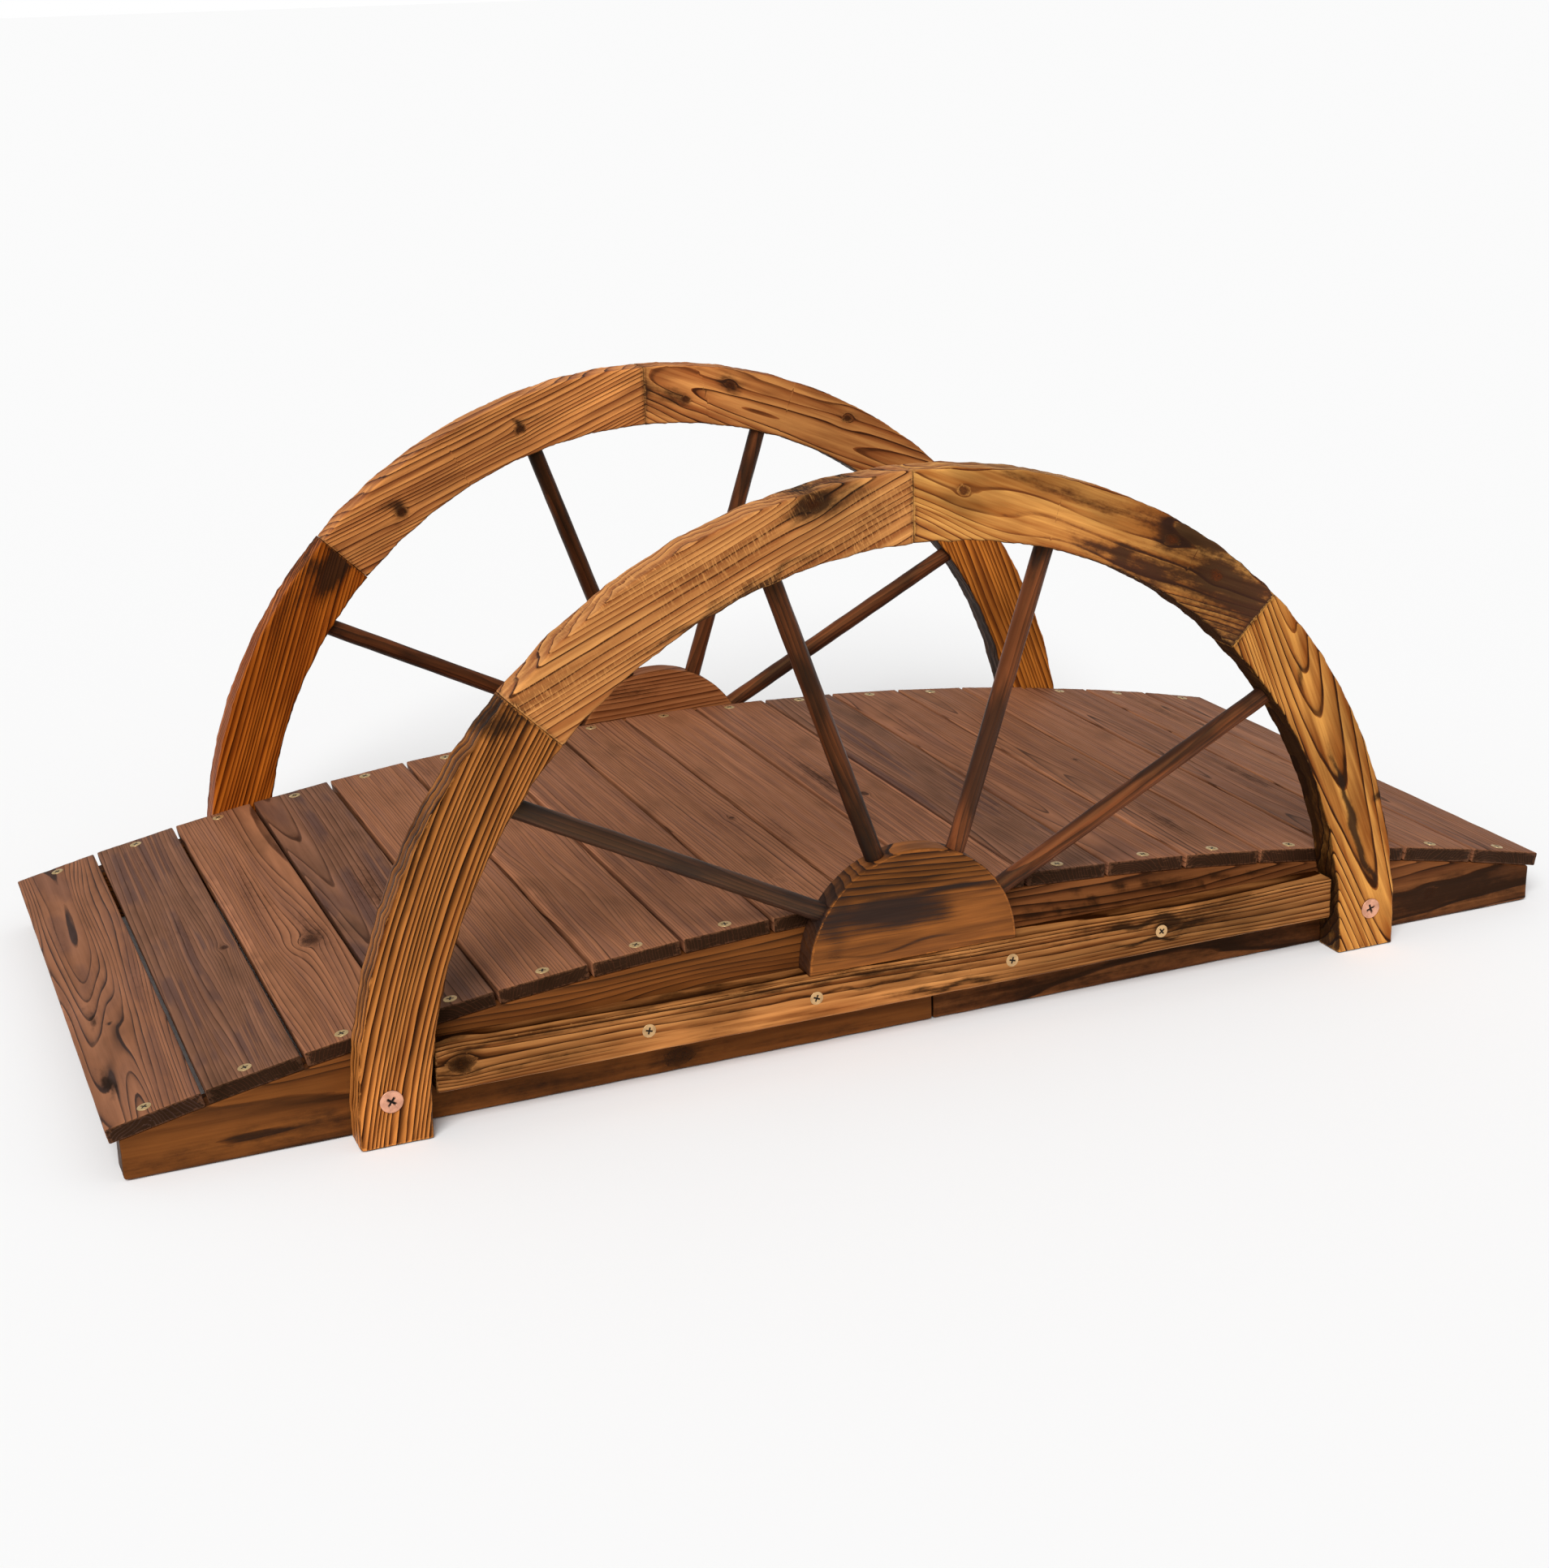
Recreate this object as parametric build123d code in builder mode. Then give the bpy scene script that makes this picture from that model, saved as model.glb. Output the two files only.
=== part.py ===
from build123d import *
from math import asin, cos, radians, sin, sqrt, tan
import os

# A flat-pack garden footbridge of charred fir: a bowed plank deck on two arched side beams,
# with half of a wagon wheel standing on each side as its railing.
# Millimetres. +X runs along the walkway, +Z is up, the near side is -Y, and the origin
# is on the ground in the middle of the bridge.

# Side beams: straight underneath, arched on top, each side in two butted halves
beam_length = 1310.0
beam_thickness = 25.0
beam_end_height = 34.0
beam_crown_height = 107.5
beam_joint_x = 28.0
beam_joint_gap = 1.5
beam_edge_round = 1.5
beam_toe_round = 4.0

# Deck planks, laid across the beams and flush with their outer faces
plank_count = 17
plank_length = 595.0
plank_thickness = 13.0
plank_gap = 3.0
plank_edge_ease = 1.2
deck_overhang = 8.7

# Half wheels: four felloes each, standing on the ground against the beams
wheel_radius = 480.0
wheel_centre_height = 5.0
rim_width = 60.0
rim_thickness = 32.0
rim_edge_ease = 2.0
felloe_joint_angle = 45.0

# Tie rails, screwed along the beams from leg to leg
rail_bottom = 33.0
rail_height = 38.0
rail_thickness = 26.0
rail_end_clearance = 0.3
rail_edge_round = 2.0

# Hubs: half discs that stand on the rails
hub_radius = 96.0
hub_thickness = 24.0
hub_edge_ease = 1.5

# Spokes: round dowels in blind sockets, drilled by hand, so the two halves aren't quite alike
spoke_radius = 8.5
spoke_axis_depth = 12.5
spoke_rim_angles = (143.5, 106.0, 72.5, 35.5)
spoke_hub_angles = (147.5, 108.5, 63.0, 28.0)
spoke_clearance = 0.2
socket_depth = 14.0
socket_end_gap = 0.3

# Worked out from the sizes above
side_y = plank_length / 2
rim_inner_radius = wheel_radius - rim_width
rail_top = rail_bottom + rail_height
rail_half_length = sqrt(rim_inner_radius**2 - (rail_top - wheel_centre_height) ** 2) - rail_end_clearance
beam_rise = beam_crown_height - beam_end_height
arch_radius = ((beam_length / 2) ** 2 + beam_rise**2) / (2 * beam_rise)
arch_centre_z = beam_crown_height - arch_radius
deck_half_angle = asin((beam_length / 2 + deck_overhang) / arch_radius)
plank_step_angle = 2 * deck_half_angle / plank_count
plank_width = 2 * arch_radius * tan(plank_step_angle / 2) - plank_gap

NEAR = 1
FAR = -1
sides = {"near": NEAR, "far": FAR}


def beam_top(x):
    """Height of the beams' arched top at x."""
    return arch_centre_z + sqrt(arch_radius**2 - x**2)


def side_plane(side):
    """Upright plane on a beam's outer face. Extruding by side times a thickness goes outwards."""
    return Plane.XZ.offset(side * side_y)


def polar(centre_z, radius, angle):
    """Point (x, z) on a circle about the middle of the wheel, angle in degrees from +X."""
    return radius * cos(radians(angle)), centre_z + radius * sin(radians(angle))


def finish(builder, name):
    builder.part.label = name
    export_step(builder.part, f"parts/{name}.step")


# Deck
def make_plank(index):
    angle = (index - (plank_count + 1) / 2) * plank_step_angle
    seat = Plane(
        origin=(arch_radius * sin(angle), 0, arch_centre_z + arch_radius * cos(angle)),
        x_dir=(cos(angle), 0, -sin(angle)),
        z_dir=(sin(angle), 0, cos(angle)),
    )
    with BuildPart() as plank:
        with BuildSketch(seat):
            Rectangle(plank_width, plank_length)
        extrude(amount=plank_thickness)
        chamfer(plank.edges(), plank_edge_ease)
    finish(plank, f"deck_plank_{index:02d}")


# Side beams
def make_beam(side_name, half_name, x_outer, x_joint):
    side = sides[side_name]
    x_middle = (x_outer + x_joint) / 2
    with BuildPart() as beam:
        with BuildSketch(side_plane(side)):
            with BuildLine():
                Polyline((x_joint, beam_top(x_joint)), (x_joint, 0), (x_outer, 0), (x_outer, beam_top(x_outer)))
                ThreePointArc(
                    (x_outer, beam_top(x_outer)), (x_middle, beam_top(x_middle)), (x_joint, beam_top(x_joint))
                )
            make_face()
        extrude(amount=-side * beam_thickness)
        end_edges = beam.edges().filter_by(Axis.Y).group_by(Axis.X)[0 if x_outer < x_joint else -1]
        fillet(end_edges.sort_by(Axis.Z)[0], beam_toe_round)
        lower_edges = beam.edges().filter_by(Axis.X).group_by(Axis.Z)[0]
        fillet(lower_edges, beam_edge_round)
    finish(beam, f"{side_name}_beam_{half_name}")


# Tie rails
def make_rail(side_name):
    side = sides[side_name]
    with BuildPart() as rail:
        with BuildSketch(side_plane(side)):
            with Locations((0, (rail_bottom + rail_top) / 2)):
                Rectangle(2 * rail_half_length, rail_height)
        extrude(amount=side * rail_thickness)
        outer_edges = rail.edges().filter_by(Axis.X).group_by(Axis.Y)[0 if side == NEAR else -1]
        fillet(outer_edges, rail_edge_round)
    finish(rail, f"{side_name}_tie_rail")


# Spokes: the axis of each one, as its hub end, its rim end and its direction from hub to rim
def spoke_axis(side, number):
    y = -side * (side_y + spoke_axis_depth)
    hub_x, hub_z = polar(rail_top, hub_radius, spoke_hub_angles[number])
    rim_x, rim_z = polar(wheel_centre_height, rim_inner_radius, spoke_rim_angles[number])
    hub_end = Vector(hub_x, y, hub_z)
    rim_end = Vector(rim_x, y, rim_z)
    return hub_end, rim_end, (rim_end - hub_end).normalized()


def socket_plane(mouth, inward):
    """Plane square to a spoke, far enough outside its socket's mouth for a cut of twice the depth."""
    return Plane(origin=mouth - inward * socket_depth, z_dir=inward)


def make_spoke(side_name, number):
    hub_end, rim_end, direction = spoke_axis(sides[side_name], number)
    overlap = socket_depth - socket_end_gap
    start = hub_end - direction * overlap
    with BuildPart() as spoke:
        with BuildSketch(Plane(origin=start, z_dir=direction)):
            Circle(spoke_radius)
        extrude(amount=(rim_end - hub_end).length + 2 * overlap)
    finish(spoke, f"{side_name}_spoke_{number + 1}")


# Hubs
def make_hub(side_name):
    side = sides[side_name]
    with BuildPart() as hub:
        with BuildSketch(side_plane(side)):
            with Locations((0, rail_top)):
                Circle(hub_radius)
                Rectangle(2 * hub_radius, hub_radius, align=(Align.CENTER, Align.MIN), mode=Mode.INTERSECT)
        extrude(amount=side * hub_thickness)
        chamfer(hub.edges().filter_by(GeomType.CIRCLE), hub_edge_ease)
        for number in range(len(spoke_hub_angles)):
            hub_end, _, direction = spoke_axis(side, number)
            with BuildSketch(socket_plane(hub_end, direction * -1)):
                Circle(spoke_radius + spoke_clearance)
            extrude(amount=2 * socket_depth, mode=Mode.SUBTRACT)
    finish(hub, f"{side_name}_hub")


# Felloes: each wheel's two legs and two crown pieces, butted on lines through the wheel's centre
def make_felloe(side_name, half_name, piece_name, low_angle, high_angle):
    side = sides[side_name]
    reach = 2 * wheel_radius
    wedge = [(0, wheel_centre_height)]
    if piece_name == "leg":
        hand = 1 if half_name == "right" else -1
        wedge += [(0, 0), (hand * reach, 0)]
        joint_angle = high_angle if half_name == "right" else low_angle
        wedge.append(polar(wheel_centre_height, reach, joint_angle))
    else:
        wedge += [polar(wheel_centre_height, reach, low_angle), polar(wheel_centre_height, reach, high_angle)]
    with BuildPart() as felloe:
        with BuildSketch(side_plane(side)):
            with Locations((0, wheel_centre_height)):
                Circle(wheel_radius)
                Circle(rim_inner_radius, mode=Mode.SUBTRACT)
            with BuildLine():
                Polyline(*wedge, close=True)
            make_face(mode=Mode.INTERSECT)
        extrude(amount=side * rim_thickness)
        chamfer(felloe.edges().filter_by(GeomType.CIRCLE), rim_edge_ease)
        for number, angle in enumerate(spoke_rim_angles):
            if low_angle < angle < high_angle:
                _, rim_end, direction = spoke_axis(side, number)
                with BuildSketch(socket_plane(rim_end, direction)):
                    Circle(spoke_radius + spoke_clearance)
                extrude(amount=2 * socket_depth, mode=Mode.SUBTRACT)
    finish(felloe, f"{side_name}_rim_{half_name}_{piece_name}")


os.makedirs("parts", exist_ok=True)

for index in range(1, plank_count + 1):
    make_plank(index)

for side_name in sides:
    make_beam(side_name, "left", -beam_length / 2, beam_joint_x - beam_joint_gap / 2)
    make_beam(side_name, "right", beam_length / 2, beam_joint_x + beam_joint_gap / 2)
    make_rail(side_name)
    make_hub(side_name)
    for number in range(len(spoke_rim_angles)):
        make_spoke(side_name, number)
    make_felloe(side_name, "right", "leg", 0, felloe_joint_angle)
    make_felloe(side_name, "right", "crown", felloe_joint_angle, 90)
    make_felloe(side_name, "left", "crown", 90, 180 - felloe_joint_angle)
    make_felloe(side_name, "left", "leg", 180 - felloe_joint_angle, 180)
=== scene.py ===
import bmesh
import bpy
import math
import numpy as np
from functools import partial
from mathutils import Matrix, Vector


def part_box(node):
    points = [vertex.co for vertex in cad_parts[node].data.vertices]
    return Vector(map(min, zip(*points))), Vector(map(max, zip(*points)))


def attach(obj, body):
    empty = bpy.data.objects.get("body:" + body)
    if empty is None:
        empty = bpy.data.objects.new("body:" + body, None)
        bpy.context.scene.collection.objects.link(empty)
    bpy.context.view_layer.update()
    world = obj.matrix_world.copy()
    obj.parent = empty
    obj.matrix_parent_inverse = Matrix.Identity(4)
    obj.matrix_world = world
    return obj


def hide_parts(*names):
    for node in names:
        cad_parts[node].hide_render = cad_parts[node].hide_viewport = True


# A garden footbridge of charred, brushed fir with half wagon wheels for railings.
# Every board is a closed numpy surface that takes the place of its CAD node. Each one carries
# its own board coordinates and year rings, so grain runs along the board and turns the corner
# onto edges and ends as in real wood. Meshes, and the rounding of their edges, are in metres,
# as the frame; piths, rings, knots, burns and screws are in millimetres.

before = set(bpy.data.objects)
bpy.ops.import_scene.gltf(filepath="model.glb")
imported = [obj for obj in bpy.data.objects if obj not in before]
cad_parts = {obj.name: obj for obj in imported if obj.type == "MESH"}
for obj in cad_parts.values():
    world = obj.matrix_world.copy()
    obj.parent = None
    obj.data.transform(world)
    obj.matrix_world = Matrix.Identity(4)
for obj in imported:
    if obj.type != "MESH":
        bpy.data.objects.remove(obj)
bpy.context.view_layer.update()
mm = 0.001
weldGap = 2e-6  # points closer than this are made one


def nodeBox(node):
    low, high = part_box(node)
    return np.array(low), np.array(high)


# sizes read from the frame, and the few it can't tell
bridge = dict(
    archCrown=nodeBox("near_beam_left")[1][2],
    beamEndHeight=0.034,
    beamHalfLength=nodeBox("near_beam_right")[1][0],
    wheelCentre=0.005,
    rimWidth=0.060,
)
archRise = bridge["archCrown"] - bridge["beamEndHeight"]
archRadius = (bridge["beamHalfLength"] ** 2 + archRise ** 2) / (2 * archRise)


def archHeight(x):
    # height of the arched beam top: a circle through the crown and both ends
    return bridge["archCrown"] - archRadius + np.sqrt(archRadius ** 2 - x ** 2)


def outward(side):
    # which way along Y a side's outer face looks
    return -1 if side == "near" else 1


def uprightAxes(side):
    # board axes of a piece that stands along the bridge: along, up and outwards
    return np.array([(1, 0, 0), (0, 0, 1), (0, outward(side), 0)], float)


def waves(points, length, seed, count=6):
    # soft noise between about -1 and 1: a sum of sine waves in seeded directions
    rng = np.random.default_rng(seed)
    heading = rng.normal(size=(points.shape[1], count))
    heading /= np.linalg.norm(heading, axis=0)
    heading *= 2 * np.pi / (length * rng.uniform(0.6, 1.7, count))
    return np.sin(points @ heading + rng.uniform(0, 2 * np.pi, count)).sum(1) / math.sqrt(count)


def roundedOutline(halfWide, halfThick, radius, topSteps, baseSteps, sideSteps, cornerSteps):
    # walks anticlockwise round a rectangle with quarter circles for corners
    corners = np.array([[1, -1], [1, 1], [-1, 1], [-1, -1]])
    centres = corners * [halfWide - radius, halfThick - radius]
    steps = [sideSteps, topSteps, sideSteps, baseSteps]
    arcs = []
    for k in range(4):
        turn = np.radians(90 * k - 90 + np.linspace(0, 90, cornerSteps + 1))
        arcs.append(centres[k] + radius * np.c_[np.cos(turn), np.sin(turn)])
    walk = []
    for k in range(4):
        share = np.linspace(0, 1, steps[k] + 1)[1:-1, None]
        walk += [arcs[k], arcs[k][-1] * (1 - share) + arcs[(k + 1) % 4][0] * share]
    return np.vstack(walk)


def middleLine(outline, halfWide, halfThick):
    # for each point of an outline, its nearest point on the line along the section's middle
    return np.c_[np.clip(outline[:, 0], halfThick - halfWide, halfWide - halfThick), 0 * outline[:, 0]]


def stations(length, ease, steps, capSteps, easeSteps=3):
    # places along a bar as (along, edge inset, share of the way to the middle):
    # across the end face, round the eased end edge, then along the body and back
    turn = np.radians(np.linspace(0, 90, easeSteps + 1))
    start = [(0, ease, s) for s in np.linspace(1, 0, capSteps + 1)[:-1]]
    start += [(ease * (1 - math.cos(t)), ease * (1 - math.sin(t)), 0) for t in turn]
    body = [(s, 0, 0) for s in np.linspace(ease, length - ease, steps + 1)[1:-1]]
    end = [(length - a, i, s) for a, i, s in reversed(start)]
    return np.array(start + body + end)


def ringsOf(outline, middle, rows):
    # one copy of the outline per station, its edge drawn in towards its middle line and
    # its end faces closed on the line's middle point
    inward = middle - outline
    reach = np.maximum(np.linalg.norm(inward, axis=1, keepdims=True), 1e-9)
    section = outline + inward / reach * np.minimum(rows[:, 1, None, None], reach)
    section = section + (middle.mean(0) - section) * rows[:, 2, None, None]
    along = np.broadcast_to(rows[:, 0, None], section.shape[:2])
    return along, section[..., 0], section[..., 1]


def addObject(name, data):
    made = bpy.data.objects.new(name, data)
    bpy.context.scene.collection.objects.link(made)
    return made


def smoothPiece(name, mesh):
    mesh.polygons.foreach_set("use_smooth", np.ones(len(mesh.polygons), bool))
    mesh.update()
    return addObject(name, mesh)


def closedMesh(name, points, edge):
    # a grid of stations by outline points, closed round the outline; each end row is one
    # point and is merged, and faces are turned outwards by the sign of the volume
    m, n = points.shape[:2]
    index = np.arange(m * n).reshape(m, n)
    nextU = np.roll(index, -1, axis=1)
    quads = np.stack([index[:-1], nextU[:-1], nextU[1:], index[1:]], -1).reshape(-1, 4)
    flat = points.reshape(-1, 3)
    a, b, c, d = (flat[quads[:, k]] for k in range(4))
    if (np.einsum("ij,ij->i", a, np.cross(b, c)) + np.einsum("ij,ij->i", a, np.cross(c, d))).sum() < 0:
        quads = quads[:, ::-1]
    mesh = bpy.data.meshes.new(name)
    mesh.from_pydata(flat.tolist(), [], quads.tolist())
    writeAttribute(mesh, "wear", np.broadcast_to(edge, (m, n)))
    work = bmesh.new()
    work.from_mesh(mesh)
    bmesh.ops.remove_doubles(work, verts=work.verts, dist=weldGap)
    work.to_mesh(mesh)
    work.free()
    return smoothPiece(name, mesh)


def readVectors(items, key):
    values = np.empty(len(items) * 3, np.float32)
    items.foreach_get(key, values)
    return values.reshape(-1, 3).astype(float)


def writeAttribute(mesh, name, values):
    # one number, or one vector, for each point of a mesh
    isVector = values.size == 3 * len(mesh.vertices)
    kind, key = ("FLOAT_VECTOR", "vector") if isVector else ("FLOAT", "value")
    layer = mesh.attributes.new(name, kind, "POINT")
    layer.data.foreach_set(key, values.astype(np.float32).ravel())


# what a board's grain can be told, with the usual values
usualGrain = dict(
    seed=1, sway=2.0, slope=(0, 0), stretch=6,  # how the rings wander and lean along the board
    relief=0.12, rough=0.12,  # how deep the brush cut, and the dents all over
    tone=0, char=0, halo=0.4,  # lightness and burn all over, and the burn round a knot
    follow=0, wrap=0, curve=0,  # how far the rings follow a felloe's curve, and its radius
    # knots are (along, across, radius); the rest are spots, see spotsOn
    knots=(), burns=(), tones=(), clear=(),
    joints=(), rimSides=None,  # a felloe's butt joints in degrees; (tone, char) of its outer and inner curved faces, where the tone is painted light and shade
)
farKnot = (4000, 4000, 1)  # the nearest knot of a board that has none
# wave lengths, and for a spot's wandering outline (height, length)
grainWaves = dict(sway=45, wide=(7, 36), tall=(2.5, 28), dents=14)
haloSize = (2.8, 1.8)  # along and across, in radii of the knot


def spotsOn(along, across, spots):
    # soft ellipses: (along, across, half length, half width, strength)
    total = np.zeros(len(along))
    for a, b, halfLong, halfWide, strength in spots:
        total += strength * np.exp(-((along - a) / halfLong) ** 2 - ((across - b) / halfWide) ** 2)
    return total


def growGrain(piece, origin, axes, told):
    # year rings are the distance from a pith line that lies (across, through) off the board's
    # middle, leans by slope and sways
    grain = {**usualGrain, **told}
    mesh, seed = piece.data, grain["seed"]
    axes = np.array(axes, float)
    normal = readVectors(mesh.vertex_normals, "vector")
    point = readVectors(mesh.vertices, "co")
    fromWheel = point - [0, 0, bridge["wheelCentre"]]
    local = (point - origin) @ axes.T / mm
    outer = inner = bow = np.zeros(len(local))
    if grain["rimSides"]:  # how far a point lies on the outer or inner curved face, and the bow there
        radial = fromWheel * [1, 0, 1]
        radius = np.linalg.norm(radial, axis=1)
        facing = (normal * radial).sum(1) / radius
        outer, inner = np.clip(facing * 2 - 0.8, 0, 1), np.clip(-facing * 2 - 0.8, 0, 1)
        bow = radius / mm - grain["curve"] - local[:, 1]
        bow = bow * np.maximum(grain["follow"], grain["wrap"] * outer)
    slow = local * [1 / grain["stretch"], 1, 1]
    offset = [grain["sway"] * waves(slow, grainWaves["sway"], seed + k) - grain["slope"][k] * local[:, 0]
              - grain["pith"][k] for k in (0, 1)]
    across, through = local[:, 1] + bow + offset[0], local[:, 2] + offset[1]
    reach = np.maximum(np.hypot(across, through), 1)
    ring = reach / grain["ring"]
    ring = ring + 0.5 * np.sin(ring * 0.8 + seed)
    # the nearest knot, as the offset from it and its radius
    knots = np.array(grain["knots"] or [farKnot], float)
    away = local[:, None, :2] - knots[None, :, :2]
    nearest = (np.linalg.norm(away, axis=2) / knots[:, 2]).argmin(1)
    knot = np.c_[away[np.arange(len(local)), nearest], knots[nearest, 2]] * mm
    # burns and pale places have wandering outlines
    wide, tall = (local[:, k] + grainWaves[key][0] * waves(local, grainWaves[key][1], seed + 5 + k)
                  for k, key in enumerate(("wide", "tall")))
    halos = [(a, b, haloSize[0] * size, haloSize[1] * size, grain["halo"]) for a, b, size in grain["knots"]]
    burn = grain["char"] + spotsOn(wide, tall, grain["burns"]) + spotsOn(local[:, 0], local[:, 1], halos)
    tone = grain["tone"] + spotsOn(wide, tall, grain["tones"])
    clear = np.clip(spotsOn(wide, tall, grain["clear"]), 0, 1)
    endGrain = np.clip((np.abs(normal @ axes[0]) - 0.55) / 0.25, 0, 1)
    # painted light and shade: a felloe's outer and inner curved faces are made lighter or darker by which way
    # they face, and the inner face is charred as well
    if grain["rimSides"]:
        (outPaintedShade, outChar), (inPaintedShade, inChar) = grain["rimSides"]
        tone = tone + outPaintedShade * outer + inPaintedShade * inner
        burn = burn + outChar * outer + inChar * inner
        endGrain = endGrain * (1 - np.maximum(outer, inner))
    for joint in (math.radians(j) for j in grain["joints"] if 0 < j < 180):  # soot gathers in the joints
        gap = np.abs(fromWheel[:, 0] * math.sin(joint) - fromWheel[:, 2] * math.cos(joint)) / mm
        burn = burn + 0.5 * np.exp(-gap / 2) + 0.15 * np.exp(-gap / 14)
    # brushing wears each ring's soft wood into a groove, but not on end grain or a clear face
    groove = grain["relief"] * (1 - endGrain) * (1 - clear) * (0.5 - 0.5 * np.cos(2 * np.pi * ring))
    dents = grain["rough"] * (1 + waves(local * [0.5, 1, 1], grainWaves["dents"], seed + 2))
    moved = point - normal * (groove + dents)[:, None] * mm
    mesh.vertices.foreach_set("co", moved.astype(np.float32).ravel())
    # what the wood shader reads; calm is how far its rings waver, least where they lie flat
    carried = dict(
        ring=ring, ringSlope=across / reach / grain["ring"], calm=0.25 + 0.75 * np.abs(across) / reach,
        grainPos=local * mm + np.random.default_rng(seed).uniform(-5, 5, 3),
        knot=knot, burn=burn, tone=tone, clear=clear, endGrain=endGrain,
    )
    for name, values in carried.items():
        writeAttribute(mesh, name, values)
    mesh.update()


# node tree helpers
def feed(tree, node, feeds):
    # a feed is a socket's name or number, and a value or another node's output
    for socket, value in feeds:
        if isinstance(value, bpy.types.NodeSocket):
            tree.links.new(value, node.inputs[socket])
        else:
            node.inputs[socket].default_value = value


def addNode(tree, kind, feeds=(), **settings):
    made = tree.nodes.new(kind)
    for key, value in settings.items():
        setattr(made, key, value)
    feed(tree, made, feeds)
    return made


def calc(tree, operation, *values):
    return addNode(tree, "ShaderNodeMath", list(enumerate(values)), operation=operation).outputs[0]


def blendColour(tree, share, first, second, kind="MIX"):
    feeds = [(0, share), (6, first), (7, second)]
    return addNode(tree, "ShaderNodeMix", feeds, data_type="RGBA", blend_type=kind).outputs[2]


def ramp(tree, value, low, high, smooth=True):
    feeds = [(0, value), (1, low), (2, high), (3, 0.0), (4, 1.0)]
    style = "SMOOTHSTEP" if smooth else "LINEAR"
    return addNode(tree, "ShaderNodeMapRange", feeds, interpolation_type=style, clamp=True).outputs[0]


def noise(tree, vector, scale, detail=2.0, rough=0.5):
    feeds = [("Vector", vector), ("Scale", scale), ("Detail", detail), ("Roughness", rough)]
    return addNode(tree, "ShaderNodeTexNoise", feeds).outputs[0]


def stretch(tree, vector, scales):
    return addNode(tree, "ShaderNodeVectorMath", [(0, vector), (1, scales)], operation="MULTIPLY").outputs[0]


def attribute(tree, name, output="Fac"):
    return addNode(tree, "ShaderNodeAttribute", attribute_name=name).outputs[output]


def paint(value):
    # a colour as it shows on screen, 0 to 255, turned into scene light; a number stays as it is
    if not isinstance(value, tuple):
        return value
    shown = np.array(value) / 255
    linear = np.where(shown < 0.04045, shown / 12.92, ((shown + 0.055) / 1.055) ** 2.4)
    return (*linear.tolist(), 1.0)


def newMaterial(name):
    material = bpy.data.materials.new(name)
    material.use_nodes = True
    return material, material.node_tree, material.node_tree.nodes["Principled BSDF"]


woodInputs = dict(
    light=(215, 155, 88), mid=(176, 112, 58), dark=(84, 46, 24), charred=(36, 22, 16),
    haze=(108, 82, 84), hazeShare=0.0, lineWidth=0.45, lineStrength=0.9, scorch=0.3, chips=0.3,
    gloss=0.5, raggedness=0.6, streaks=0.85, fibres=0.44, sawMarks=0.0, endDark=0.75, blotch=0.25,
)
# noises as repeats per metre (along, across, through) the board, detail and roughness
woodNoises = dict(
    fibre=((16, 620, 620), 3.0, 0.65), streak=((7, 120, 120), 3.0, 0.6), drift=((9, 26, 26), 3.0, 0.55),
    speck=((110, 260, 260), 3.0, 0.7), waver=((10, 75, 75), 3.0, 0.5), fade=((12, 90, 90), 2.0, 0.5),
    scratch=((900, 110, 110), 2.0, 0.6),
)
woodSheen = (255, 190, 120)
bumpDepth = 0.0006


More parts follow.
